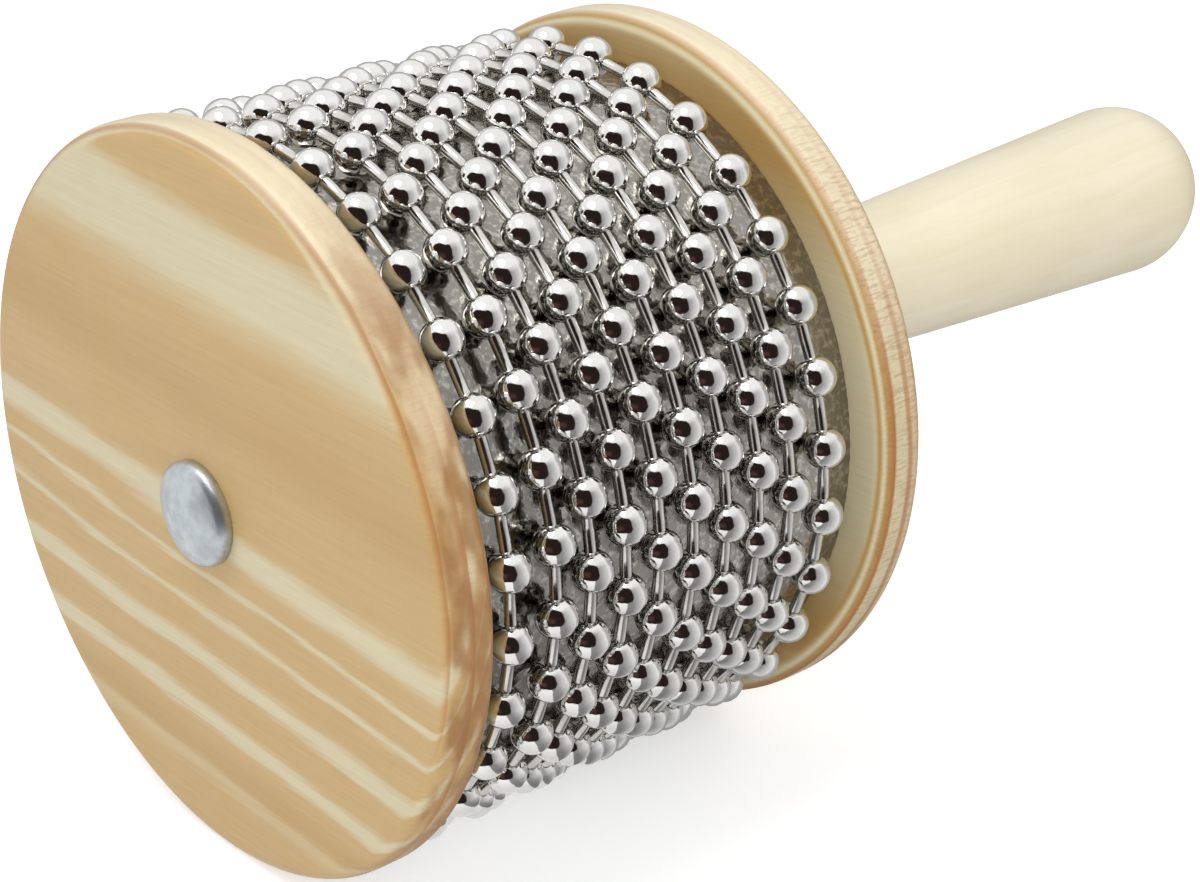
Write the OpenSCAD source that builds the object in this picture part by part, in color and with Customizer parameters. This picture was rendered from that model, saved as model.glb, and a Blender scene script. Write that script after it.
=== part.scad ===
// Hand cabasa: ten rows of steel bead chain that turn round a wooden drum with a handle.
// It lies on the rims of its two discs. The drum's axis runs along X, the handle points to +X.

/* [Discs] */
// Diameter of both wooden discs
disc_d = 85.5; // [70:0.5:110]
// Thickness of each disc
disc_t = 6.5; // [6:0.5:12]
// Radius of the rounding on a disc's edges
disc_edge_r = 2; // [0.5:0.1:2.8]

/* [Bead rows] */
// Diameter of one ball
ball_d = 4.7; // [4:0.05:6]
// Wall of the hollow balls
ball_wall = 0.25; // [0.15:0.01:0.4]
// Diameter of a link's rod
link_d = 1.3; // [0.8:0.05:1.5]
// Radial play of a link in a ball's hole
link_play = 0.1; // [0.05:0.01:0.15]
// Rod that shows between two balls
link_show = 3.4; // [2.5:0.05:6]
// How far the balls stay inside the discs' rims
rim_margin = 0.35; // [0.3:0.05:2]
// Free gap between two neighbouring rows
row_gap = 0.1; // [0.1:0.05:1.5]
// Free gap between the front disc and the first row
front_gap = 1.25; // [0.5:0.05:6]
// Extra gap behind the first row
first_row_extra = 1.2; // [0:0.1:5]
// Extra gap before the last row
last_row_extra = 0.5; // [0:0.1:5]
// Free gap between the last row and the rear disc
rear_gap = 4.55; // [0.5:0.05:12]

/* [Drum] */
// Play between the balls and the sleeve
sleeve_play = 0.3; // [0.1:0.05:1]
// Thickness of the sleeve's sheet steel
sleeve_t = 0.5; // [0.3:0.05:0.8]
// Width of the seam where the sheet's edges meet
seam_w = 0.5; // [0.2:0.1:1.5]
// Diameter of a brad's flat head
brad_head_d = 2; // [1.4:0.1:3]
// Diameter of a brad's shank
brad_d = 0.9; // [0.7:0.05:1.2]
// Length of a brad
brad_len = 9; // [5:0.5:14]

/* [Centre bolt] */
// Diameter of the bolt
bolt_d = 5; // [4:0.5:6]
// Length of the bolt under its head
bolt_len = 80; // [78:1:90]
// Diameter of the domed head
head_d = 12; // [11:0.1:16]
// Height of the domed head
head_h = 2.8; // [2.4:0.1:3.4]
// Upright edge of the domed head
head_rim_h = 0.6; // [0.3:0.1:0.8]
// Radius of the rounding between the head's edge and its dome
head_edge_r = 1.2; // [0.6:0.1:1.4]
// Height of the square neck under the head
neck_h = 3.2; // [2:0.1:4]

/* [Handle] */
// Length of the handle behind the rear disc
handle_len = 97; // [80:1:130]
// Diameter of the handle where it enters the rear disc
handle_neck_d = 15.3; // [13:0.1:18]
// Straight length of the handle's neck behind the rear disc
handle_neck_len = 3; // [1:0.5:10]
// Diameter of the handle at its thick end
handle_end_d = 23.6; // [19:0.1:30]
// Outer diameter of the threaded insert
insert_d = 8; // [7.5:0.1:9]
// Length of the threaded insert
insert_len = 12; // [8:0.5:14]

/* [Hidden] */
ROWS = 10;
ROW_NAMES = ["01", "02", "03", "04", "05", "06", "07", "08", "09", "10"];
$fn = 96;

// where each row's first ball lies, as a share of the angle from one ball to the next
row_phase_share = [0.66, 0.55, 0.1, 0.65, 0.2, 0.7, 0.19, 0.63, 0.14, 0.7];

// how far a cut runs past the face that it opens
cut = 1;
// play of pieces that are pushed or drawn together and don't turn
seat_play = 0.05;
// hole for the bolt through the wood, over the bolt's own diameter
bolt_hole_over = 0.5;
// play of the sleeve round the core, and of its ends between the discs
sleeve_fit = 0.1;
// wood left in front of the insert, and free depth past the bolt's end
insert_recess = 0.5;
bolt_hole_past = 3;
// thickness of a brad's head, just under the sleeve's
brad_head_t = sleeve_t - seat_play;
// brads on each side of the seam, and the distance from the seam to their line
BRADS = 4;
brad_edge = 2;
// gap of a link's round head from the ball's wall, and from the other link's head in the ball
link_head_gap = 0.15;
// ribs round the outside of the insert
INSERT_RIBS = 5;
rib_h = 0.35;

disc_r = disc_d / 2;
ball_r = ball_d / 2;
row_r = disc_r - rim_margin - ball_r;
row_step = ball_d + row_gap;
first_row = front_gap + ball_r;
row_place = [for (i = [0 : ROWS - 1])
    first_row + i * row_step + (i > 0 ? first_row_extra : 0) + (i == ROWS - 1 ? last_row_extra : 0)];
drum_w = row_place[ROWS - 1] + ball_r + rear_gap;
BALLS = floor(2 * PI * row_r / (ball_d + link_show));
ball_turn = 360 / BALLS;
chord = 2 * row_r * sin(ball_turn / 2);
sleeve_r = row_r - ball_r - sleeve_play;
core_r = sleeve_r - sleeve_t - sleeve_fit;
link_head_room = ball_r - ball_wall - link_head_gap;
link_head_r = (link_head_room - link_head_gap / 2) / 2;
link_head_in = link_head_room - link_head_r;
bolt_r = bolt_d / 2;
bolt_hole_r = (bolt_d + bolt_hole_over) / 2;
neck_r = handle_neck_d / 2;
end_r = handle_end_d / 2;
insert_r = insert_d / 2;

// places along the drum's axis, from the front disc's outer face
drum_start = disc_t;
drum_end = disc_t + drum_w;
rear_face = drum_end + disc_t;
tip = rear_face + handle_len;
nose_x = (head_h - tip) / 2;

// Puts a piece that is built up along Z on the drum's axis, the given way behind the front face
module on_axis(place = 0) {
    translate([nose_x + place, 0, disc_r])
        rotate([0, 90, 0])
            children();
}

// Outline of half a disc with both rims rounded, from the bore outwards
module disc_outline(bore_r) {
    translate([bore_r, 0])
        square([disc_r - disc_edge_r - bore_r, disc_t]);
    translate([bore_r, disc_edge_r])
        square([disc_r - bore_r, disc_t - 2 * disc_edge_r]);
    for (h = [disc_edge_r, disc_t - disc_edge_r])
        translate([disc_r - disc_edge_r, h])
            circle(r = disc_edge_r);
}

module front_disc() {
    pocket = bolt_d + 2 * seat_play;
    color("burlywood")
        on_axis()
            difference() {
                rotate_extrude()
                    disc_outline(bolt_hole_r);
                translate([-pocket / 2, -pocket / 2, -cut])
                    cube([pocket, pocket, neck_h + seat_play + cut]);
            }
}

module rear_disc() {
    color("burlywood")
        on_axis(drum_end)
            rotate_extrude()
                disc_outline(neck_r + seat_play);
}

// Puts a piece at each brad's place, built outwards along X from the drum's axis
module at_brads(r) {
    spacing = drum_w / BRADS;
    turn = asin((seam_w / 2 + brad_edge) / r);
    for (side = [-1, 1], i = [0 : BRADS - 1])
        rotate([0, 0, side * turn])
            translate([0, 0, (i + 0.5) * spacing])
                rotate([0, 90, 0])
                    children();
}

module drum_core() {
    color("tan")
        on_axis(drum_start)
            difference() {
                cylinder(r = core_r, h = drum_w);
                translate([0, 0, -cut])
                    cylinder(r = bolt_hole_r, h = drum_w + 2 * cut);
                at_brads(sleeve_r)
                    translate([0, 0, sleeve_r - brad_len - seat_play])
                        cylinder(r = brad_d / 2 + seat_play, h = brad_len + cut);
            }
}

module steel_sleeve() {
    color("lightsteelblue")
        on_axis(drum_start)
            difference() {
                translate([0, 0, sleeve_fit])
                    cylinder(r = sleeve_r, h = drum_w - 2 * sleeve_fit);
                translate([0, 0, -cut])
                    cylinder(r = core_r + sleeve_fit, h = drum_w + 2 * cut);
                translate([0, -seam_w / 2, -cut])
                    cube([sleeve_r + cut, seam_w, drum_w + 2 * cut]);
                at_brads(sleeve_r)
                    translate([0, 0, core_r])
                        cylinder(r = brad_head_d / 2 + seat_play, h = sleeve_r - core_r + cut);
            }
}

module sleeve_brads() {
    head_top = sleeve_r - seat_play;
    color("silver")
        on_axis(drum_start)
            at_brads(sleeve_r) {
                translate([0, 0, sleeve_r - brad_len])
                    cylinder(r = brad_d / 2, h = brad_len - brad_head_t);
                translate([0, 0, head_top - brad_head_t])
                    cylinder(r = brad_head_d / 2, h = brad_head_t);
            }
}

// Half outline of the head: an upright edge, a rounding, and a flat arc that runs into it
module head_outline() {
    head_r = head_d / 2;
    edge_in = head_r - head_edge_r;
    dome_h = head_h - head_rim_h;
    dome_r = (pow(edge_in, 2) + pow(dome_h, 2) - pow(head_edge_r, 2)) / (2 * (dome_h - head_edge_r));
    arc_end = dome_r * edge_in / (dome_r - head_edge_r);
    translate([0, -head_rim_h])
        square([head_r, head_rim_h]);
    intersection() {
        translate([0, -head_h])
            square([head_r, head_h]);
        union() {
            translate([edge_in, -head_rim_h])
                circle(r = head_edge_r);
            intersection() {
                translate([0, dome_r - head_h])
                    circle(r = dome_r);
                translate([0, -head_h])
                    square([arc_end, head_h]);
            }
        }
    }
}

module centre_bolt() {
    color("slategray")
        on_axis() {
            rotate_extrude()
                head_outline();
            translate([-bolt_r, -bolt_r, 0])
                cube([bolt_d, bolt_d, neck_h]);
            cylinder(r = bolt_r, h = bolt_len);
        }
}

module handle_insert() {
    rib_step = insert_len / INSERT_RIBS;
    color("goldenrod")
        on_axis(drum_end + insert_recess)
            difference() {
                union() {
                    cylinder(r = insert_r - rib_h, h = insert_len);
                    for (i = [0 : INSERT_RIBS - 1])
                        translate([0, 0, (i + 0.25) * rib_step])
                            cylinder(r = insert_r, h = rib_step / 2);
                }
                translate([0, 0, -cut])
                    cylinder(r = bolt_r + seat_play, h = insert_len + 2 * cut);
            }
}

// Half outline of the handle: a straight neck, a widening grip and a round end that it runs into
module handle_outline() {
    root = disc_t + handle_neck_len;
    top = disc_t + handle_len;
    centre = top - end_r;
    reach = centre - root;
    lean = asin(end_r / norm([reach, neck_r])) - atan(neck_r / reach);
    polygon([
        [0, 0],
        [neck_r, 0],
        [neck_r, root],
        [end_r * cos(lean), centre - end_r * sin(lean)],
        [0, centre]
    ]);
    intersection() {
        translate([0, centre - end_r])
            square([end_r, 2 * end_r]);
        translate([0, centre])
            circle(r = end_r);
    }
}

module handle() {
    insert_hole = insert_recess + insert_len + seat_play;
    bolt_hole = bolt_len - drum_end + bolt_hole_past;
    color("wheat")
        on_axis(drum_end)
            difference() {
                rotate_extrude()
                    handle_outline();
                translate([0, 0, -cut])
                    cylinder(r = insert_r + seat_play, h = insert_hole + cut);
                translate([0, 0, -cut])
                    cylinder(r = bolt_hole_r, h = bolt_hole + cut);
            }
}

// Puts a piece at each ball of a row, with X outwards and Y along the chain
module at_balls(i) {
    for (k = [0 : BALLS - 1])
        rotate([0, 0, (k + row_phase_share[i]) * ball_turn])
            translate([row_r, 0, 0])
                children();
}

// One hollow ball with a hole for each of its two links
module ball() {
    difference() {
        sphere(r = ball_r);
        sphere(r = ball_r - ball_wall);
        for (side = [-1, 1])
            rotate([0, 0, side * ball_turn / 2])
                rotate([-90 * side, 0, 0])
                    cylinder(r = link_d / 2 + link_play, h = ball_d);
    }
}

module row_balls(i) {
    color("gainsboro")
        on_axis(drum_start + row_place[i])
            at_balls(i)
                ball();
}

// One link: a rod with a round head inside each of the balls that it joins
module link() {
    rod_len = chord - 2 * link_head_in;
    rotate([0, 0, ball_turn / 2])
        rotate([-90, 0, 0])
            translate([0, 0, link_head_in]) {
                cylinder(r = link_d / 2, h = rod_len);
                sphere(r = link_head_r);
                translate([0, 0, rod_len])
                    sphere(r = link_head_r);
            }
}

module row_links(i) {
    color("silver")
        on_axis(drum_start + row_place[i])
            at_balls(i)
                link();
}

front_disc();
rear_disc();
drum_core();
steel_sleeve();
sleeve_brads();
centre_bolt();
handle_insert();
handle();
for (i = [0 : ROWS - 1]) {
    row_balls(i);
    row_links(i);
}
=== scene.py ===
import math

import bpy
import numpy as np
from mathutils import Matrix, Vector


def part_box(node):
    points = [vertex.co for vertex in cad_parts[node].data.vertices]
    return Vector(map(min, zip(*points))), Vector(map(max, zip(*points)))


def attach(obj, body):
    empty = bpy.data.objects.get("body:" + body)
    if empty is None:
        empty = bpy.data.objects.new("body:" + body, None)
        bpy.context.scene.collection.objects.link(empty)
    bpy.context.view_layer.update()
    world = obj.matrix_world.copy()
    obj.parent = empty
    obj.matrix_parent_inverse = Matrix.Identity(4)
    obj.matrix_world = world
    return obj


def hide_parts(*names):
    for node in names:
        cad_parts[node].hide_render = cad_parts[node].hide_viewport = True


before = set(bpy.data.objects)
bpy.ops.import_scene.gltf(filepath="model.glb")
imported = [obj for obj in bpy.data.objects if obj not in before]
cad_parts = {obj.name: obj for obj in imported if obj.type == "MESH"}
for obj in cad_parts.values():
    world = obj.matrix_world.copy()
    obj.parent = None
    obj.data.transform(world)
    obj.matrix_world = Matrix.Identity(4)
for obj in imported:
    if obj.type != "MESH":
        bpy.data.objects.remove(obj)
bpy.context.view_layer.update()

MM = 0.001
ROWS = 10
BALLS = 31
BRADS_A_SIDE = 4
ROW_NAMES = ["row_%02d" % number for number in range(1, ROWS + 1)]
MAIN_BODY = "drum_and_handle"

# Camera: its place in metres, its directions, and its sensor and lens in millimetres
CAMERA_PLACE = Vector((-0.22847, -0.23056, 0.17645))
CAMERA_FORWARD = Vector((0.60229, 0.67842, -0.42071))
CAMERA_RIGHT = Vector((0.74782, -0.66390, 0.0))
SENSOR_WIDTH = 36.0
LENS = 83.8

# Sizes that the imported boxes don't tell, in metres
EDGE_R = 2.0 * MM
BOLT_HOLE_R = 2.75 * MM
BOLT_R = 2.5 * MM
BOLT_HOLE_PAST = 3.0 * MM
NECK_H = 3.2 * MM
HEAD_RIM_H = 0.6 * MM
HEAD_EDGE_R = 1.2 * MM
HANDLE_NECK_R = 7.65 * MM
HANDLE_NECK_LEN = 3.0 * MM
SEAT_PLAY = 0.05 * MM
BALL_WALL = 0.25 * MM
LINK_R = 0.65 * MM
LINK_PLAY = 0.1 * MM
LINK_HEAD_GAP = 0.15 * MM
RIM_MARGIN = 0.35 * MM
SLEEVE_T = 0.5 * MM
SEAM_W = 0.5 * MM
BRAD_EDGE = 2.0 * MM
EMBOSS_PITCH = 1.7 * MM
EMBOSS_DEPTH = 0.1 * MM
DIMPLE_R = 1.7 * MM
DIMPLE_DEPTH = 0.16 * MM
HEAD_EASE = 0.1 * MM

# How finely the meshes are cut: the sleeve's grid in metres, and the faces round each turned piece
SLEEVE_MESH_STEP = 0.55 * MM
DISC_STEPS = 240
HANDLE_STEPS = 128
BOLT_STEPS = 96
BALL_STEPS = 28
LINK_STEPS = 16

front_low, front_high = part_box("front_disc")
rear_low, rear_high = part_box("rear_disc")
sleeve_low, sleeve_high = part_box("steel_sleeve")
bolt_low, bolt_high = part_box("centre_bolt")
insert_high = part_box("handle_insert")[1]
handle_low, handle_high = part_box("handle")
ball_low, ball_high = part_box("row_01_balls")

disc_r = (front_high.z - front_low.z) / 2
axis_z = front_low.z + disc_r
sleeve_r = sleeve_high.z - axis_z
ball_r = (ball_high.x - ball_low.x) / 2
head_r = bolt_high.y
insert_r = insert_high.y
end_r = handle_high.y
row_r = disc_r - RIM_MARGIN - ball_r
ball_turn = math.tau / BALLS


# Plain shapes

def piece(name, points, faces, material, sharp=35):
    """A mesh object from points and faces, smooth but for edges sharper than the given angle."""
    mesh = bpy.data.meshes.new(name)
    mesh.from_pydata([tuple(p) for p in points], [], faces)
    mesh.validate()
    mesh.polygons.foreach_set("use_smooth", [True] * len(mesh.polygons))
    mesh.set_sharp_from_angle(angle=math.radians(sharp))
    mesh.materials.append(material)
    made = bpy.data.objects.new(name, mesh)
    bpy.context.scene.collection.objects.link(made)
    return made


def arc(centre, radius, start, end, steps):
    """Points along an arc, from start to end in degrees."""
    angles = [math.radians(start + (end - start) * i / steps) for i in range(steps + 1)]
    return [(centre[0] + radius * math.cos(a), centre[1] + radius * math.sin(a)) for a in angles]


def turned(outline, steps, closed=True):
    """Points and faces of an outline of (along, radius) turned about the X axis through zero."""
    points, rings, faces = [], [], []
    for along, radius in outline:
        if radius < 1e-7:
            rings.append([len(points)])
            points.append((along, 0.0, 0.0))
            continue
        rings.append(list(range(len(points), len(points) + steps)))
        for i in range(steps):
            a = math.tau * i / steps
            points.append((along, radius * math.sin(a), radius * math.cos(a)))
    pairs = list(zip(rings, rings[1:]))
    if closed:
        pairs.append((rings[-1], rings[0]))
    for here, there in pairs:
        for i in range(steps):
            j = (i + 1) % steps
            corners = [here[i % len(here)], here[j % len(here)]]
            corners += [there[j % len(there)], there[i % len(there)]]
            corners = list(dict.fromkeys(corners))
            if len(corners) > 2:
                faces.append(corners)
    return points, faces


def on_axis(points):
    """Moves points that are built about zero onto the drum's axis."""
    return [(x, y, z + axis_z) for x, y, z in points]


def rounded_disc(low_x, high_x, bore_r):
    """Outline of a disc with a bore and two rounded rims."""
    flat_r = disc_r - EDGE_R
    lead_in = 0.4 * MM
    outline = [(low_x, bore_r), (low_x, flat_r - lead_in)]
    outline += arc((low_x + EDGE_R, flat_r), EDGE_R, 180, 90, 10)
    outline += [(low_x + EDGE_R + lead_in, disc_r), (high_x - EDGE_R - lead_in, disc_r)]
    outline += arc((high_x - EDGE_R, flat_r), EDGE_R, 90, 0, 10)
    outline += [(high_x, flat_r - lead_in), (high_x, bore_r)]
    return outline


# Shader helpers

def add(tree, kind, inputs=(), **settings):
    """Adds a node. An input's value is a number, a colour or another node's output."""
    node = tree.nodes.new("ShaderNode" + kind)
    for name, value in settings.items():
        setattr(node, name, value)
    for name, value in dict(inputs).items():
        if isinstance(value, bpy.types.NodeSocket):
            tree.links.new(value, node.inputs[name])
        else:
            node.inputs[name].default_value = value
    return node


def maths(tree, operation, a, b=0.0, clamp=False):
    return add(tree, "Math", {0: a, 1: b}, operation=operation, use_clamp=clamp).outputs[0]


def weighted(tree, a, a_share, b, b_share):
    """Adds two values, each times its share."""
    return maths(tree, "ADD", maths(tree, "MULTIPLY", a, a_share), maths(tree, "MULTIPLY", b, b_share))


def mix(tree, factor, a, b, blend="MIX"):
    return add(tree, "Mix", {0: factor, 6: a, 7: b}, data_type="RGBA", blend_type=blend).outputs[2]


def noise(tree, vector, scale, detail=3.0, rough=0.5):
    inputs = {"Vector": vector, "Scale": scale, "Detail": detail, "Roughness": rough}
    return add(tree, "TexNoise", inputs).outputs["Fac"]


def stretch(tree, vector, factors):
    return add(tree, "VectorMath", {0: vector, 1: factors}, operation="MULTIPLY").outputs[0]


def spread(tree, value, low, high, new_low=0.0, new_high=1.0):
    """Maps low..high to new_low..new_high and holds it there."""
    inputs = {0: value, 1: low, 2: high, 3: new_low, 4: new_high}
    return add(tree, "MapRange", inputs, interpolation_type="SMOOTHSTEP").outputs[0]


def colour_steps(tree, value, steps):
    """A colour ramp over 0..1 from a list of (place, colour)."""
    node = add(tree, "ValToRGB", {0: value})
    node.color_ramp.interpolation = "EASE"
    stops = node.color_ramp.elements
    stops[0].position, stops[0].color = steps[0]
    stops[1].position, stops[1].color = steps[-1]
    for place, colour in steps[1:-1]:
        stops.new(place).color = colour
    return node.outputs[0]


def shade(code):
    """A linear colour from a six-digit sRGB code."""
    parts = [int(code[i:i + 2], 16) / 255 for i in (0, 2, 4)]
    return tuple(p / 12.92 if p < 0.04045 else ((p + 0.055) / 1.055) ** 2.4 for p in parts) + (1.0,)


def toned(tree, colour, tone):
    """A colour made lighter or darker by a value round 1."""
    grey = add(tree, "CombineColor", {0: tone, 1: tone, 2: tone}).outputs[0]
    return mix(tree, 1.0, colour, grey, "MULTIPLY")


def seen_directly(tree):
    """1 for what the camera, mirrors and clear things see, and 0 for the light that falls on things."""
    path = add(tree, "LightPath").outputs
    seen = maths(tree, "ADD", path["Is Camera Ray"], path["Is Glossy Ray"])
    return maths(tree, "ADD", seen, path["Is Transmission Ray"], clamp=True)


def new_group(name, inputs, outputs):
    """A shader node group with named sockets. Returns its tree, its inputs and its output node."""
    tree = bpy.data.node_groups.new(name, "ShaderNodeTree")
    for socket, kind in inputs.items():
        tree.interface.new_socket(socket, in_out="INPUT", socket_type="NodeSocket" + kind)
    for socket, kind in outputs.items():
        tree.interface.new_socket(socket, in_out="OUTPUT", socket_type="NodeSocket" + kind)
    entry = tree.nodes.new("NodeGroupInput")
    leave = tree.nodes.new("NodeGroupOutput")
    return tree, entry.outputs, leave.inputs


def use(tree, group, **inputs):
    """Places a group in a material and returns its outputs."""
    node = tree.nodes.new("ShaderNodeGroup")
    node.node_tree = group
    for name, value in inputs.items():
        if isinstance(value, bpy.types.NodeSocket):
            tree.links.new(value, node.inputs[name])
        else:
            node.inputs[name].default_value = value
    return node.outputs


def new_material(name):
    """A material with its shader, and its places on the object in millimetres."""
    material = bpy.data.materials.new(name)
    material.use_nodes = True
    tree = material.node_tree
    shader = tree.nodes["Principled BSDF"]
    places = add(tree, "TexCoord").outputs["Object"]
    places = stretch(tree, places, (1 / MM, 1 / MM, 1 / MM))
    return material, tree, shader, places


def moved(tree, places, start):
    """The same places, counted from a start in millimetres."""
    return add(tree, "VectorMath", {0: places, 1: start}, operation="SUBTRACT").outputs[0]


def bump(tree, shader, height, strength, distance):
    """Feeds a height to the shader's normal. The distance is in millimetres."""
    inputs = {"Height": height, "Strength": strength, "Distance": distance * MM}
    tree.links.new(add(tree, "Bump", inputs).outputs[0], shader.inputs["Normal"])


# Effects that several finishes share

def make_fibres():
    """Fine wood fibres that run along the vector's X, with short dark pores."""
    outputs = {"Tone": "Float", "Height": "Float"}
    tree, entry, leave = new_group("wood fibres", {"Vector": "Vector"}, outputs)
    long_fibres = noise(tree, stretch(tree, entry["Vector"], (0.05, 1.6, 1.6)), 1.0, 4.0, 0.6)
    fine_fibres = noise(tree, stretch(tree, entry["Vector"], (0.22, 7.0, 7.0)), 1.0, 3.0, 0.6)
    pores = noise(tree, stretch(tree, entry["Vector"], (0.7, 9.0, 9.0)), 1.0, 1.0, 0.5)
    pores = spread(tree, pores, 0.68, 0.8)
    tone = weighted(tree, long_fibres, 0.6, fine_fibres, 0.4)
    pore_tone = 0.18
    pore_depth = 0.5
    tree.links.new(maths(tree, "SUBTRACT", tone, maths(tree, "MULTIPLY", pores, pore_tone)), leave["Tone"])
    height = maths(tree, "SUBTRACT", fine_fibres, maths(tree, "MULTIPLY", pores, pore_depth))
    tree.links.new(height, leave["Height"])
    return tree


def make_smudges():
    """Soft uneven patches of handling, from 0 to 1, with finer specks of dust."""
    tree, entry, leave = new_group("smudges", {"Vector": "Vector", "Scale": "Float"}, {"Mask": "Float"})
    wide = noise(tree, entry["Vector"], entry["Scale"], 4.0, 0.6)
    fine = noise(tree, entry["Vector"], maths(tree, "MULTIPLY", entry["Scale"], 9.0), 2.0, 0.6)
    both = weighted(tree, wide, 0.75, fine, 0.25)
    tree.links.new(spread(tree, both, 0.35, 0.65), leave["Mask"])
    return tree


def make_scratches():
    """Fine straight scratches in two directions, from 0 to 1."""
    tree, entry, leave = new_group("scratches", {"Vector": "Vector"}, {"Mask": "Float"})
    masks = []
    for turn, squeeze in ((0.4, 6.0), (2.0, 8.0)):
        mapping = {"Vector": entry["Vector"], "Rotation": (turn, turn, 0.0)}
        mapping["Scale"] = (0.25, squeeze, squeeze)
        lines = noise(tree, add(tree, "Mapping", mapping).outputs[0], 1.0, 2.0, 0.5)
        masks.append(spread(tree, lines, 0.66, 0.74))
    tree.links.new(maths(tree, "MAXIMUM", masks[0], masks[1]), leave["Mask"])
    return tree


fibres = make_fibres()
smudges = make_smudges()
scratches = make_scratches()


# Wood colours

CREAM = shade("D6CAA6")
HONEY = shade("CFB88A")
TAN = shade("C9A973")
DEEP_TAN = shade("C19F68")
LATEWOOD = shade("AE7034")
END_GRAIN = shade("9C6E3E")
# painted highlight: the discs' rims are lighter where they face up
RIM_PAINTED_HIGHLIGHT = shade("EFE3C4")
ROSE_CREAM = shade("D8C2A2")
# painted shade: a darker olive for the rear disc's inner face, where the beads shade it
OLIVE_PAINTED_SHADE = shade("B48F52")
HANDLE_PALE = shade("EEE5CB")
HANDLE_CREAM = shade("E9DEC0")
HANDLE_STREAK = shade("CDB280")
HANDLE_STAIN = shade("E0CC98")
CORE_EARLY = shade("DCC08E")
CORE_LATE = shade("B4854C")

# Metal colours

NICKEL = shade("F2F1EE")
NICKEL_HAZE = shade("DAD8D4")
LINK_NICKEL = shade("E2E0DB")
LINK_HAZE = shade("BFBCB6")
# painted shade and painted glints of the embossed sleeve
SHEET_PAINTED_SHADE = shade("98948D")
SHEET_PAINTED_GLINT = shade("CBC8C2")
SHEET_HAZE = shade("8C8984")
ZINC_LIGHT = shade("C6CDD0")
ZINC_GREY = shade("B4BBBF")
ZINC_CRYSTAL = shade("D2D7D8")
ZINC_SCRATCH = shade("70767A")
BRAD_STEEL = shade("C9C6BF")
BRAD_HAZE = shade("8F8B84")
INSERT_STEEL = shade("C8B98A")
INSERT_HAZE = shade("8E8057")


# Wood

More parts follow.
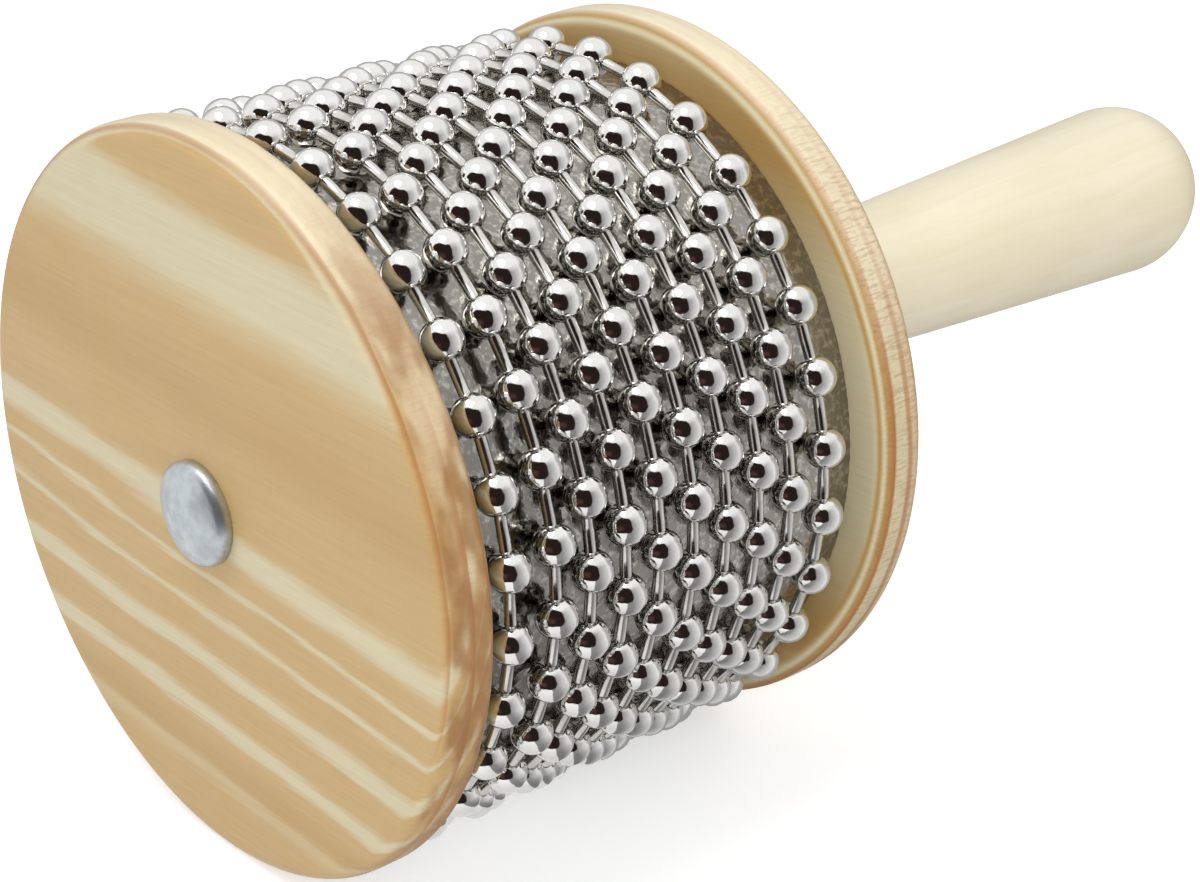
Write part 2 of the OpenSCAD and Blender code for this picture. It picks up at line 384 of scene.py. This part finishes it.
def pine(name, face_x, bands, crown, flatness, lean, lines, end_shares):
    """Lacquered pine, sawn so that the growth layers lie nearly flat in the disc.

    bands are (depth, colour) pairs, in millimetres below the top layer. crown is the height above the
    axis where the layers lie level with the face, flatness is the radius that they curve by, both in
    millimetres, and lean is how the bands slope. On the rim the layers show as lines, given as (first
    place, gap, width, share), and its end grain as dark streaks and short strokes, given as two shares."""
    first_line, line_gap, line_w, line_share = lines
    streak_share, stroke_share = end_shares
    material, tree, shader, places = new_material(name)
    places = moved(tree, places, (face_x / MM, 0.0, axis_z / MM))
    parts = add(tree, "SeparateXYZ", {0: places}).outputs
    wave = noise(tree, stretch(tree, places, (0.06, 0.018, 0.06)), 1.0, 2.0, 0.5)
    ripple = noise(tree, stretch(tree, places, (0.4, 0.06, 0.4)), 1.0, 3.0, 0.5)
    brush = noise(tree, stretch(tree, places, (1.6, 0.09, 1.6)), 1.0, 3.0, 0.6)
    shift = weighted(tree, wave, 3.4, ripple, 1.8)
    shift = maths(tree, "ADD", shift, maths(tree, "MULTIPLY", brush, 1.6))
    mean_shift = 3.4
    height = maths(tree, "ADD", parts["Z"], maths(tree, "SUBTRACT", shift, mean_shift))
    height = maths(tree, "SUBTRACT", height, maths(tree, "MULTIPLY", parts["Y"], lean))
    below = maths(tree, "SUBTRACT", crown, height)
    curve = maths(tree, "DIVIDE", maths(tree, "MULTIPLY", below, below), 2.0 * flatness)
    depth = maths(tree, "ADD", parts["X"], curve)

    deepest = bands[-1][0]
    stops = [(place / deepest, band) for place, band in bands]
    colour = colour_steps(tree, maths(tree, "DIVIDE", depth, deepest), stops)

    normal = add(tree, "NewGeometry").outputs["Normal"]
    facing = add(tree, "SeparateXYZ", {0: normal}).outputs
    rim = maths(tree, "SUBTRACT", 1.0, maths(tree, "ABSOLUTE", facing["X"]))
    wander = noise(tree, stretch(tree, places, (0.04, 0.03, 0.03)), 1.0, 2.0, 0.5)
    layer = maths(tree, "ADD", parts["X"], maths(tree, "MULTIPLY", curve, 0.08))
    layer = maths(tree, "ADD", layer, maths(tree, "MULTIPLY", maths(tree, "SUBTRACT", wander, 0.5), 1.6))
    line_peak = 0.9
    start = 1 + line_peak - first_line / line_gap
    turns = maths(tree, "ADD", maths(tree, "DIVIDE", layer, line_gap), start)
    saw = maths(tree, "FRACT", turns)
    rise = spread(tree, saw, line_peak - line_w / line_gap, line_peak)
    fall = spread(tree, saw, 0.93, 1.0, 1.0, 0.0)
    late = maths(tree, "MULTIPLY", rise, fall)
    late = maths(tree, "MULTIPLY", late, spread(tree, rim, 0.0, 0.3, 0.0, line_share))
    colour = mix(tree, late, colour, LATEWOOD)

    # Painted highlight: the rim is lighter where it faces up, as if lit from above.
    upward = spread(tree, facing["Z"], 0.1, 0.8, 0.0, 0.75)
    painted_rim_light = maths(tree, "MULTIPLY", spread(tree, rim, 0.2, 0.7), upward)
    colour = mix(tree, painted_rim_light, colour, RIM_PAINTED_HIGHLIGHT)
    sides = maths(tree, "ABSOLUTE", facing["Y"])
    end = maths(tree, "MULTIPLY", spread(tree, rim, 0.05, 0.5), spread(tree, sides, 0.25, 0.85))
    streaks = noise(tree, stretch(tree, places, (0.3, 0.05, 0.16)), 1.0, 2.0, 0.5)
    least_dark = 0.2 * streak_share
    dark = maths(tree, "MULTIPLY", end, spread(tree, streaks, 0.35, 0.62, least_dark, streak_share))
    colour = mix(tree, dark, colour, END_GRAIN)
    strokes = noise(tree, stretch(tree, places, (0.5, 3.2, 3.2)), 1.0, 3.0, 0.6)
    strokes = maths(tree, "MULTIPLY", end, spread(tree, strokes, 0.45, 0.66, 0.0, stroke_share))
    colour = mix(tree, strokes, colour, END_GRAIN)

    along_y = add(tree, "CombineXYZ", {0: parts["Y"], 1: parts["X"], 2: parts["Z"]}).outputs[0]
    grain = use(tree, fibres, Vector=along_y)
    colour = toned(tree, colour, spread(tree, grain["Tone"], 0.25, 0.75, 0.93, 1.05))
    tree.links.new(colour, shader.inputs["Base Color"])

    handled = use(tree, smudges, Vector=places, Scale=0.09)["Mask"]
    dull = spread(tree, handled, 0.0, 1.0, 0.34, 0.46)
    dull = maths(tree, "ADD", dull, maths(tree, "MULTIPLY", end, 0.15))
    tree.links.new(dull, shader.inputs["Roughness"])
    shader.inputs["Specular IOR Level"].default_value = 0.35
    shader.inputs["Coat Weight"].default_value = 0.12
    shader.inputs["Coat Roughness"].default_value = 0.3
    bump(tree, shader, grain["Height"], 0.35, 0.04)
    return material


def handle_wood():
    """Pale, fine-grained wood of the turned handle, with a few soft streaks along it."""
    material, tree, shader, places = new_material("pale handle wood")
    places = moved(tree, places, (0.0, 0.0, axis_z / MM))
    parts = add(tree, "SeparateXYZ", {0: places}).outputs
    wander = noise(tree, stretch(tree, places, (0.012, 0.09, 0.09)), 1.0, 3.0, 0.55)
    ring_gap = 4.2
    to_pith = {0: stretch(tree, places, (0.02, 1, 1)), 1: (0.0, 14.0, 30.0)}
    ring = add(tree, "VectorMath", to_pith, operation="DISTANCE").outputs["Value"]
    turns = maths(tree, "DIVIDE", ring, ring_gap)
    turns = maths(tree, "ADD", turns, maths(tree, "MULTIPLY", wander, 3.0))
    saw = maths(tree, "FRACT", turns)
    late = maths(tree, "MULTIPLY", spread(tree, saw, 0.6, 0.92), spread(tree, saw, 0.94, 1.0, 1.0, 0.0))
    cloud = noise(tree, stretch(tree, places, (0.035, 0.12, 0.12)), 1.0, 3.0, 0.5)
    colour = mix(tree, spread(tree, cloud, 0.35, 0.7), HANDLE_PALE, HANDLE_CREAM)
    colour = mix(tree, maths(tree, "MULTIPLY", late, 0.06), colour, HANDLE_STREAK)
    tip_len = 12
    tip = spread(tree, parts["X"], handle_high.x / MM - tip_len, handle_high.x / MM)
    stain = maths(tree, "MULTIPLY", tip, spread(tree, cloud, 0.35, 0.6, 0.25, 0.8))
    colour = mix(tree, stain, colour, HANDLE_STAIN)
    grain = use(tree, fibres, Vector=places)
    colour = toned(tree, colour, spread(tree, grain["Tone"], 0.25, 0.75, 0.97, 1.02))
    tree.links.new(colour, shader.inputs["Base Color"])
    handled = use(tree, smudges, Vector=places, Scale=0.07)["Mask"]
    tree.links.new(spread(tree, handled, 0.0, 1.0, 0.36, 0.5), shader.inputs["Roughness"])
    shader.inputs["Coat Weight"].default_value = 0.12
    shader.inputs["Coat Roughness"].default_value = 0.35
    bump(tree, shader, grain["Height"], 0.3, 0.04)
    return material


def core_wood():
    """Plain softwood of the drum's core, with its annual rings a little off the drum's axis."""
    material, tree, shader, places = new_material("core wood")
    places = moved(tree, places, (0.0, 9.0, axis_z / MM - 6.0))
    flat = stretch(tree, places, (0.0, 1.0, 1.0))
    ring = add(tree, "VectorMath", {0: flat}, operation="LENGTH").outputs["Value"]
    wander = noise(tree, stretch(tree, places, (0.02, 0.07, 0.07)), 1.0, 3.0, 0.5)
    ring_gap = 2.8
    turns = maths(tree, "ADD", maths(tree, "DIVIDE", ring, ring_gap), maths(tree, "MULTIPLY", wander, 2.0))
    saw = maths(tree, "FRACT", turns)
    colour = mix(tree, spread(tree, saw, 0.5, 0.95), CORE_EARLY, CORE_LATE)
    grain = use(tree, fibres, Vector=places)
    colour = toned(tree, colour, spread(tree, grain["Tone"], 0.25, 0.75, 0.88, 1.05))
    tree.links.new(colour, shader.inputs["Base Color"])
    tree.links.new(spread(tree, grain["Tone"], 0.2, 0.8, 0.6, 0.8), shader.inputs["Roughness"])
    bump(tree, shader, grain["Height"], 0.5, 0.08)
    return material


# Metal

def bright_metal(name, clean, grey, low_rough, high_rough, dent, wear):
    """Polished metal that isn't quite even, with soft dents, fine scratches and hazy patches.

    Its roughness goes from low_rough to high_rough with the haze, dent is the depth of its dents in
    millimetres, and wear is how much its scratches show."""
    material, tree, shader, places = new_material(name)
    haze = use(tree, smudges, Vector=places, Scale=0.35)["Mask"]
    lines = use(tree, scratches, Vector=places)["Mask"]
    colour = mix(tree, maths(tree, "MULTIPLY", haze, 0.5), clean, grey)
    colour = mix(tree, maths(tree, "MULTIPLY", lines, wear), colour, grey)
    tree.links.new(colour, shader.inputs["Base Color"])
    rough = spread(tree, haze, 0.0, 1.0, low_rough, high_rough)
    rough = maths(tree, "ADD", rough, maths(tree, "MULTIPLY", lines, 0.06))
    tree.links.new(rough, shader.inputs["Roughness"])
    shader.inputs["Metallic"].default_value = 1.0
    waves = noise(tree, places, 0.55, 2.0, 0.5)
    bump(tree, shader, maths(tree, "SUBTRACT", waves, maths(tree, "MULTIPLY", lines, 0.01)), 1.0, dent)
    return material


def sleeve_steel():
    """Embossed stainless sheet: darker in its hollows as painted shade, with lighter tops as painted
    glints.
    """
    material, tree, shader, places = new_material("embossed steel")
    haze = use(tree, smudges, Vector=places, Scale=0.12)["Mask"]
    specks = noise(tree, places, 1.3, 3.0, 0.6)
    painted_glint_specks = spread(tree, specks, 0.45, 0.7)
    # Painted shade in the hollows of the specks and painted glints on their tops
    colour = mix(tree, painted_glint_specks, SHEET_PAINTED_SHADE, SHEET_PAINTED_GLINT)
    colour = mix(tree, maths(tree, "MULTIPLY", haze, 0.35), colour, SHEET_HAZE)
    tree.links.new(colour, shader.inputs["Base Color"])
    tree.links.new(spread(tree, painted_glint_specks, 0.0, 1.0, 0.13, 0.07), shader.inputs["Roughness"])
    shader.inputs["Metallic"].default_value = 1.0
    bump(tree, shader, specks, 0.4, 0.09)
    return material


def zinc():
    """Dull zinc plating with crystalline patches and small knocks."""
    material, tree, shader, places = new_material("zinc plating")
    patches = add(tree, "TexVoronoi", {"Vector": places, "Scale": 0.9}, feature="SMOOTH_F1")
    patches = patches.outputs["Distance"]
    cloud = noise(tree, places, 0.5, 4.0, 0.6)
    lines = use(tree, scratches, Vector=places)["Mask"]
    colour = mix(tree, spread(tree, cloud, 0.35, 0.65), ZINC_LIGHT, ZINC_GREY)
    colour = mix(tree, spread(tree, patches, 0.1, 0.9, 0.0, 0.25), colour, ZINC_CRYSTAL)
    colour = mix(tree, maths(tree, "MULTIPLY", lines, 0.35), colour, ZINC_SCRATCH)
    tree.links.new(colour, shader.inputs["Base Color"])
    tree.links.new(spread(tree, cloud, 0.3, 0.7, 0.28, 0.42), shader.inputs["Roughness"])
    shader.inputs["Metallic"].default_value = 0.9
    pits = noise(tree, places, 3.0, 3.0, 0.6)
    bump(tree, shader, maths(tree, "SUBTRACT", pits, maths(tree, "MULTIPLY", lines, 0.3)), 0.4, 0.08)
    return material


# Wooden pieces

def make_discs():
    front_bands = [
        (0.0, TAN), (0.25, TAN), (0.42, CREAM), (1.1, CREAM), (1.4, HONEY), (1.8, TAN), (3.4, DEEP_TAN),
        (4.6, TAN), (6.4, TAN), (6.9, CREAM), (7.5, CREAM), (8.1, TAN), (8.9, TAN), (9.15, CREAM),
        (9.45, TAN), (10.6, TAN), (10.95, CREAM), (11.3, TAN), (12.7, TAN), (13.3, CREAM), (13.8, CREAM),
        (14.2, TAN), (15.9, TAN), (16.5, CREAM), (17.0, CREAM), (17.5, TAN), (19.6, DEEP_TAN),
        (20.5, HONEY), (21.5, TAN), (34.0, TAN),
    ]
    front_wood = pine(
        "front pine", front_low.x, front_bands, crown=45.0, flatness=150.0, lean=0.08,
        lines=(0.7, 2.7, 1.0, 0.75), end_shares=(0.85, 0.12),
    )
    outline = rounded_disc(front_low.x, front_high.x, BOLT_HOLE_R)
    points, faces = turned(outline, DISC_STEPS)
    front = piece("front_disc_wood", on_axis(points), faces, front_wood)

    # The olive bands just under the rear disc's inner face are painted shade from the beads beside it.
    rear_bands = [
        (0.0, CREAM), (0.2, OLIVE_PAINTED_SHADE), (0.5, CREAM), (0.9, OLIVE_PAINTED_SHADE), (1.5, LATEWOOD), (1.9, CREAM),
        (3.5, CREAM), (3.9, ROSE_CREAM), (4.8, ROSE_CREAM), (5.4, TAN), (6.2, DEEP_TAN), (6.5, HONEY),
        (6.53, TAN), (6.6, CREAM), (6.68, TAN), (6.78, CREAM), (6.86, TAN), (6.95, HONEY),
        (7.05, DEEP_TAN), (8.0, DEEP_TAN),
    ]
    rear_wood = pine(
        "rear pine", rear_low.x, rear_bands, crown=6.0, flatness=2000.0, lean=0.05,
        lines=(3.7, 8.0, 0.45, 0.7), end_shares=(0.15, 0.4),
    )
    outline = rounded_disc(rear_low.x, rear_high.x, HANDLE_NECK_R + SEAT_PLAY)
    points, faces = turned(outline, DISC_STEPS)
    rear = piece("rear_disc_wood", on_axis(points), faces, rear_wood)

    for wood, node in ((front, "front_disc"), (rear, "rear_disc")):
        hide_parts(node)
        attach(wood, MAIN_BODY)


def make_handle():
    """The turned handle: a straight neck, a widening grip and a round end, hollow for insert and bolt."""
    root = handle_low.x
    neck_end = rear_high.x + HANDLE_NECK_LEN
    centre = handle_high.x - end_r
    reach = centre - neck_end
    lean = math.asin(end_r / math.hypot(reach, HANDLE_NECK_R)) - math.atan(HANDLE_NECK_R / reach)
    hole_end = insert_high.x + SEAT_PLAY
    bolt_end = bolt_high.x + BOLT_HOLE_PAST
    lead_in = 0.3 * MM
    outline = [(bolt_end, 0.0), (bolt_end, BOLT_HOLE_R), (hole_end, BOLT_HOLE_R)]
    outline += [(hole_end, insert_r + SEAT_PLAY), (root, insert_r + SEAT_PLAY), (root, HANDLE_NECK_R)]
    outline += [(neck_end - lead_in, HANDLE_NECK_R)]
    outline += [(neck_end + lead_in, HANDLE_NECK_R + lead_in * math.tan(lean))]
    outline += arc((centre, 0.0), end_r, 90 + math.degrees(lean), 0, 28)
    outline[-1] = (handle_high.x, 0.0)
    points, faces = turned(outline, HANDLE_STEPS, closed=False)
    handle = piece("handle_wood", on_axis(points), faces, handle_wood(), 40)
    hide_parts("handle")
    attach(handle, MAIN_BODY)


# Centre bolt

def make_bolt():
    """The bolt: a domed head with a rounded edge, a square neck and the shank."""
    face = front_low.x
    edge_in = head_r - HEAD_EDGE_R
    dome_h = face - bolt_low.x - HEAD_RIM_H
    dome_r = (edge_in ** 2 + dome_h ** 2 - HEAD_EDGE_R ** 2) / (2 * (dome_h - HEAD_EDGE_R))
    half = math.degrees(math.asin(edge_in / (dome_r - HEAD_EDGE_R)))
    outline = arc((bolt_low.x + dome_r, 0.0), dome_r, 180, 180 - half, 16)[:-1]
    outline += arc((face - HEAD_RIM_H, edge_in), HEAD_EDGE_R, 180 - half, 90, 10)
    outline += [(face - HEAD_EASE, head_r), (face, head_r - HEAD_EASE), (face, BOLT_R)]
    outline += [(bolt_high.x, BOLT_R), (bolt_high.x, 0.0)]
    outline[0] = (bolt_low.x, 0.0)
    points, faces = turned(outline, BOLT_STEPS, closed=False)
    start = len(points)
    for x in (face - HEAD_RIM_H, face + NECK_H):
        points += [(x, y * BOLT_R, z * BOLT_R) for y, z in ((-1, -1), (1, -1), (1, 1), (-1, 1))]
    quads = [(0, 1, 2, 3), (7, 6, 5, 4), (0, 4, 5, 1), (1, 5, 6, 2), (2, 6, 7, 3), (3, 7, 4, 0)]
    faces += [[start + i for i in quad] for quad in quads]
    bolt = piece("centre_bolt_zinc", on_axis(points), faces, zinc(), 50)
    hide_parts("centre_bolt")
    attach(bolt, MAIN_BODY)


# Steel sleeve

def make_sleeve():
    """The embossed sheet round the core. Its seam lies underneath, with a line of brads on each side."""
    half_seam = SEAM_W / 2 / sleeve_r
    inner_r = sleeve_r - SLEEVE_T
    across = 4 * round((math.tau - 2 * half_seam) * sleeve_r / SLEEVE_MESH_STEP / 4)
    along = round((sleeve_high.x - sleeve_low.x) / SLEEVE_MESH_STEP)
    angles = np.linspace(half_seam, math.tau - half_seam, across + 1)
    places = np.linspace(sleeve_low.x, sleeve_high.x, along + 1)
    a, x = np.meshgrid(angles, places, indexing="ij")
    wave = math.tau / EMBOSS_PITCH
    pattern = np.cos(wave * a * sleeve_r) * np.cos(wave * x)
    radius = sleeve_r - EMBOSS_DEPTH * (0.5 - 0.5 * pattern)
    brad_turn = math.asin((SEAM_W / 2 + BRAD_EDGE) / sleeve_r)
    spacing = (rear_low.x - front_high.x) / BRADS_A_SIDE
    for side in (brad_turn, math.tau - brad_turn):
        for i in range(BRADS_A_SIDE):
            away = np.hypot((a - side) * sleeve_r, x - front_high.x - (i + 0.5) * spacing)
            radius -= DIMPLE_DEPTH * np.clip(1.5 - away / DIMPLE_R, 0, 1)
    outer = np.stack([x, radius * np.sin(a), axis_z - radius * np.cos(a)], -1).reshape(-1, 3)
    coarse = angles[::4]
    inner = [(end, inner_r * math.sin(b), axis_z - inner_r * math.cos(b))
             for b in coarse for end in places[[0, -1]]]
    points = [tuple(p) for p in outer] + inner
    row = along + 1
    base = len(outer)
    faces = []
    for i in range(across):
        for j in range(along):
            faces.append([i * row + j, i * row + j + 1, (i + 1) * row + j + 1, (i + 1) * row + j])
    for k in range(len(coarse) - 1):
        low = [(4 * k + i) * row for i in range(5)]
        near, far = base + 2 * k, base + 2 * k + 2
        faces.append([near, far, far + 1, near + 1])
        faces.append(low + [far, near])
        faces.append([v + along for v in reversed(low)] + [near + 1, far + 1])
    faces.append([base, base + 1] + list(range(along, -1, -1)))
    last = across * row
    faces.append(list(range(last, last + row)) + [len(points) - 1, len(points) - 2])
    sleeve = piece("embossed_sleeve", points, faces, sleeve_steel(), 60)
    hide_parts("steel_sleeve")
    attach(sleeve, MAIN_BODY)


# Bead rows

def turned_in(along, side, out, turn):
    """A point of a ball or link, turned by an angle as the chain bends. Outwards is X, the chain Y."""
    x = out * math.cos(turn) - along * math.sin(turn)
    y = out * math.sin(turn) + along * math.cos(turn)
    return x, y, side


def ball_mesh():
    """One hollow ball, its two ends bent by half a step each, so that its holes face the links."""
    hole = math.degrees(math.asin((LINK_R + LINK_PLAY) / ball_r))
    inner_r = ball_r - BALL_WALL
    lip_r = ball_r - BALL_WALL / 4
    lip_start = hole + 3
    outline = arc((0, 0), ball_r, lip_start, 180 - lip_start, 14)
    outline += arc((0, 0), lip_r, 180 - hole, 180 - hole + 1, 1)
    outline += arc((0, 0), inner_r, 180 - lip_start, lip_start, 7)
    outline += arc((0, 0), lip_r, hole - 1, hole, 1)
    points, faces = turned(outline, BALL_STEPS)
    bent_within = 0.85 * ball_r
    bent = []
    for along, side, out in points:
        share = max(-1.0, min(1.0, along / bent_within))
        bent.append(turned_in(along, side, out, ball_turn / 2 * share))
    return np.array(bent), faces


def link_mesh():
    """One link from this ball's middle to the next one's: a rod with a round head in each ball."""
    chord = 2 * row_r * math.sin(ball_turn / 2)
    head_room = ball_r - BALL_WALL - LINK_HEAD_GAP
    knob_r = (head_room - LINK_HEAD_GAP / 2) / 2
    knob_in = head_room - knob_r
    meet = math.degrees(math.asin(LINK_R / knob_r))
    outline = arc((knob_in, 0), knob_r, 180, meet, 6)
    outline += [(chord / 2, LINK_R)]
    outline += arc((chord - knob_in, 0), knob_r, 180 - meet, 0, 6)
    outline[0] = (knob_in - knob_r, 0.0)
    outline[-1] = (chord - knob_in + knob_r, 0.0)
    points, faces = turned(outline, LINK_STEPS, closed=False)
    placed = [turned_in(along, side, out, ball_turn / 2) for along, side, out in points]
    return np.array(placed), faces


def row_phase(node):
    """The angle of the row's first ball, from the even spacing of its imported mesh."""
    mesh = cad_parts[node].data
    areas = np.zeros(len(mesh.polygons))
    centres = np.zeros(len(mesh.polygons) * 3)
    mesh.polygons.foreach_get("area", areas)
    mesh.polygons.foreach_get("center", centres)
    centres = centres.reshape(-1, 3)
    angles = np.arctan2(centres[:, 1], axis_z - centres[:, 2])
    total = (areas * np.exp(1j * BALLS * angles)).sum()
    return float(np.angle(total)) / BALLS


def repeat_round(shape, row_x, phase):
    """Copies a shape to each ball's place round the row."""
    points, faces = shape
    all_points, all_faces = [], []
    for k in range(BALLS):
        a = phase + k * ball_turn
        out, along, side = points[:, 0] + row_r, points[:, 1], points[:, 2]
        x = row_x + side
        y = out * math.sin(a) + along * math.cos(a)
        z = axis_z - out * math.cos(a) + along * math.sin(a)
        shift = k * len(points)
        all_points += list(zip(x.tolist(), y.tolist(), z.tolist()))
        all_faces += [[v + shift for v in face] for face in faces]
    return all_points, all_faces


def make_rows():
    nickel = bright_metal("bright nickel", NICKEL, NICKEL_HAZE, 0.04, 0.09, dent=0.08, wear=0.2)
    link_nickel = bright_metal("link nickel", LINK_NICKEL, LINK_HAZE, 0.1, 0.22, dent=0.05, wear=0.3)
    ball = ball_mesh()
    link = link_mesh()
    for name in ROW_NAMES:
        low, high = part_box(name + "_balls")
        row_x = (low.x + high.x) / 2
        phase = row_phase(name + "_balls")
        balls = piece(name + "_bead_balls", *repeat_round(ball, row_x, phase), nickel, 60)
        links = piece(name + "_bead_links", *repeat_round(link, row_x, phase), link_nickel, 60)
        for made, node, slot in ((balls, "_balls", "bright_nickel"), (links, "_links", "link_nickel")):
            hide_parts(name + node)
            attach(made, "bead_" + name)


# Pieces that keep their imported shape

def finish_kept_pieces():
    brad_steel = bright_metal("brad steel", BRAD_STEEL, BRAD_HAZE, 0.25, 0.4, dent=0.03, wear=0.5)
    insert_steel = bright_metal("insert steel", INSERT_STEEL, INSERT_HAZE, 0.28, 0.42, dent=0.03, wear=0.4)
    finishes = {"drum_core": core_wood(), "sleeve_brads": brad_steel, "handle_insert": insert_steel}
    for node, material in finishes.items():
        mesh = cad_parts[node].data
        mesh.materials.clear()
        mesh.materials.append(material)


# Studio

def bare_material(name):
    """A material with no shader yet. Returns it, its tree and the socket for its surface."""
    material = bpy.data.materials.new(name)
    material.use_nodes = True
    tree = material.node_tree
    tree.nodes.remove(tree.nodes["Principled BSDF"])
    return material, tree, tree.nodes["Material Output"].inputs["Surface"]


def make_floor():
    """A plain pale floor. Its glow is only what the camera, mirrors and clear things see."""
    reach = 6.0
    glow_strength = 0.5
    corners = [(-reach, -reach, 0), (reach, -reach, 0), (reach, reach, 0), (-reach, reach, 0)]
    material, tree, surface = bare_material("pale floor")
    paint = add(tree, "BsdfDiffuse", {"Color": (0.8, 0.8, 0.8, 1)}).outputs[0]
    strength = maths(tree, "MULTIPLY", seen_directly(tree), glow_strength)
    glow = add(tree, "Emission", {"Color": (1, 1, 1, 1), "Strength": strength}).outputs[0]
    tree.links.new(add(tree, "AddShader", {0: paint, 1: glow}).outputs[0], surface)
    floor = piece("floor", corners, [[0, 1, 2, 3]], material)


def make_world():
    """A white background that lights the object only by a low even fill."""
    world = bpy.data.worlds.new("studio")
    bpy.context.scene.world = world
    world.use_nodes = True
    tree = world.node_tree
    back = tree.nodes["Background"]
    fill = 0.35
    extra = maths(tree, "MULTIPLY", seen_directly(tree), 1.0 - fill)
    tree.links.new(maths(tree, "ADD", fill, extra), back.inputs["Strength"])
    back.inputs["Color"].default_value = (1, 1, 1, 1)


def make_lamp(name, place, size, power, mirrored=True):
    """A round soft lamp aimed at the drum, in metres and watts."""
    light = bpy.data.lights.new(name, "AREA")
    light.shape = "DISK"
    light.size = size
    light.energy = power
    lamp = bpy.data.objects.new(name, light)
    bpy.context.scene.collection.objects.link(lamp)
    lamp.location = place
    aim = Vector((0.0, 0.0, axis_z)) - Vector(place)
    lamp.rotation_euler = aim.to_track_quat("-Z", "Y").to_euler()
    lamp.visible_glossy = mirrored


def room_colours(turns, rises):
    """What polished metal sees of the room, by the direction from the drum: turns about it and rises
    above it, in degrees. There is a dark brown doorway beside the camera, a grey wall on its right,
    another behind the object, and the shade under the drum."""
    def between(values, low, high, soft):
        return np.clip((values - low) / soft + 0.5, 0, 1) * np.clip((high - values) / soft + 0.5, 0, 1)

    door_turn, door_half_w = 213, 52
    door_rise, door_half_h = 17, 38
    door_floor = -20
    wall_grey = np.array([0.08, 0.08, 0.08])
    door_brown = np.array([0.022, 0.014, 0.012])
    door_glow = np.array([0.06, 0.025, 0.022])

    off_middle = ((turns - door_turn) / door_half_w) ** 4 + ((rises - door_rise) / door_half_h) ** 4
    doorway = np.clip((1.12 - off_middle) / 0.24, 0, 1) * (rises > door_floor)
    glow = between(turns, 190, 220, 16) * between(rises, -8, 12, 12)
    right_wall = np.clip((335 - turns) / 75, 0, 1) * (turns > 240) * between(rises, -90, 46, 24)
    back_wall = between(turns, -35, 100, 30) * between(rises, -90, 32, 16)
    wall = np.maximum(right_wall * 0.78, back_wall * 0.6)[..., None]
    shade_under = 0.25 * np.clip((-rises - 30) / 30, 0, 1)[..., None]
    colours = (1.0 - wall * (1.0 - wall_grey)) * (1.0 - shade_under)
    brown = door_brown + glow[..., None] * door_glow
    return colours + doorway[..., None] * (brown - colours)


def make_room():
    """A curved screen round the object that only mirrors see. It lights and shades nothing."""
    middle = Vector((sleeve_low.x + sleeve_high.x, -disc_r, 0.0)) / 2
    reach = 0.24
    skirt = 0.004
    steps = 48
    floor_gap = 0.5 * MM
    turns = np.linspace(-35, 325, 181)
    away = np.concatenate([np.linspace(skirt, reach, steps), np.full(steps, reach)])
    up = np.concatenate([np.full(steps, floor_gap), np.linspace(floor_gap, 2.0 * reach, steps + 1)[1:]])
    turn, away = np.meshgrid(turns, away, indexing="ij")
    up = np.broadcast_to(up, turn.shape)
    rise = np.degrees(np.arctan2(up - axis_z, away))
    x = middle.x + away * np.cos(np.radians(turn))
    y = middle.y + away * np.sin(np.radians(turn))
    points = np.stack([x, y, up], -1).reshape(-1, 3)
    count = up.shape[1]
    faces = [[i * count + j, (i + 1) * count + j, (i + 1) * count + j + 1, i * count + j + 1]
             for i in range(len(turns) - 1) for j in range(count - 1)]
    material, tree, surface = bare_material("room")
    tint = add(tree, "Attribute", attribute_name="tint").outputs["Color"]
    tree.links.new(add(tree, "Emission", {"Color": tint, "Strength": 1.0}).outputs[0], surface)
    screen = piece("room", points.tolist(), faces, material)
    colours = np.ones((len(points), 4))
    colours[:, :3] = room_colours(turn, rise).reshape(-1, 3)
    tints = screen.data.attributes.new("tint", "FLOAT_COLOR", "POINT")
    tints.data.foreach_set("color", colours.ravel())
    screen.visible_camera = False
    screen.visible_diffuse = False
    screen.visible_shadow = False
    screen.visible_transmission = False


def make_camera():
    data = bpy.data.cameras.new("camera")
    data.lens = LENS
    data.sensor_width = SENSOR_WIDTH
    data.clip_start = 0.01
    data.clip_end = 20.0
    camera = bpy.data.objects.new("camera", data)
    bpy.context.scene.collection.objects.link(camera)
    right = CAMERA_RIGHT.normalized()
    back = -CAMERA_FORWARD.normalized()
    up = back.cross(right)
    turn = Matrix((right, up, back)).transposed()
    camera.matrix_world = Matrix.Translation(CAMERA_PLACE) @ turn.to_4x4()
    bpy.context.scene.camera = camera


make_discs()
make_handle()
make_bolt()
make_sleeve()
make_rows()
finish_kept_pieces()
make_floor()
make_world()
make_room()
make_lamp("key", (-0.35, 0.1, 0.9), 0.7, 4.3)
make_lamp("fill", (-0.6, -0.68, 0.42), 0.5, 3.9, mirrored=False)
make_lamp("back", (0.6, -0.4, 0.6), 0.6, 2.0, mirrored=False)
make_camera()
bpy.context.scene.view_settings.view_transform = "Standard"
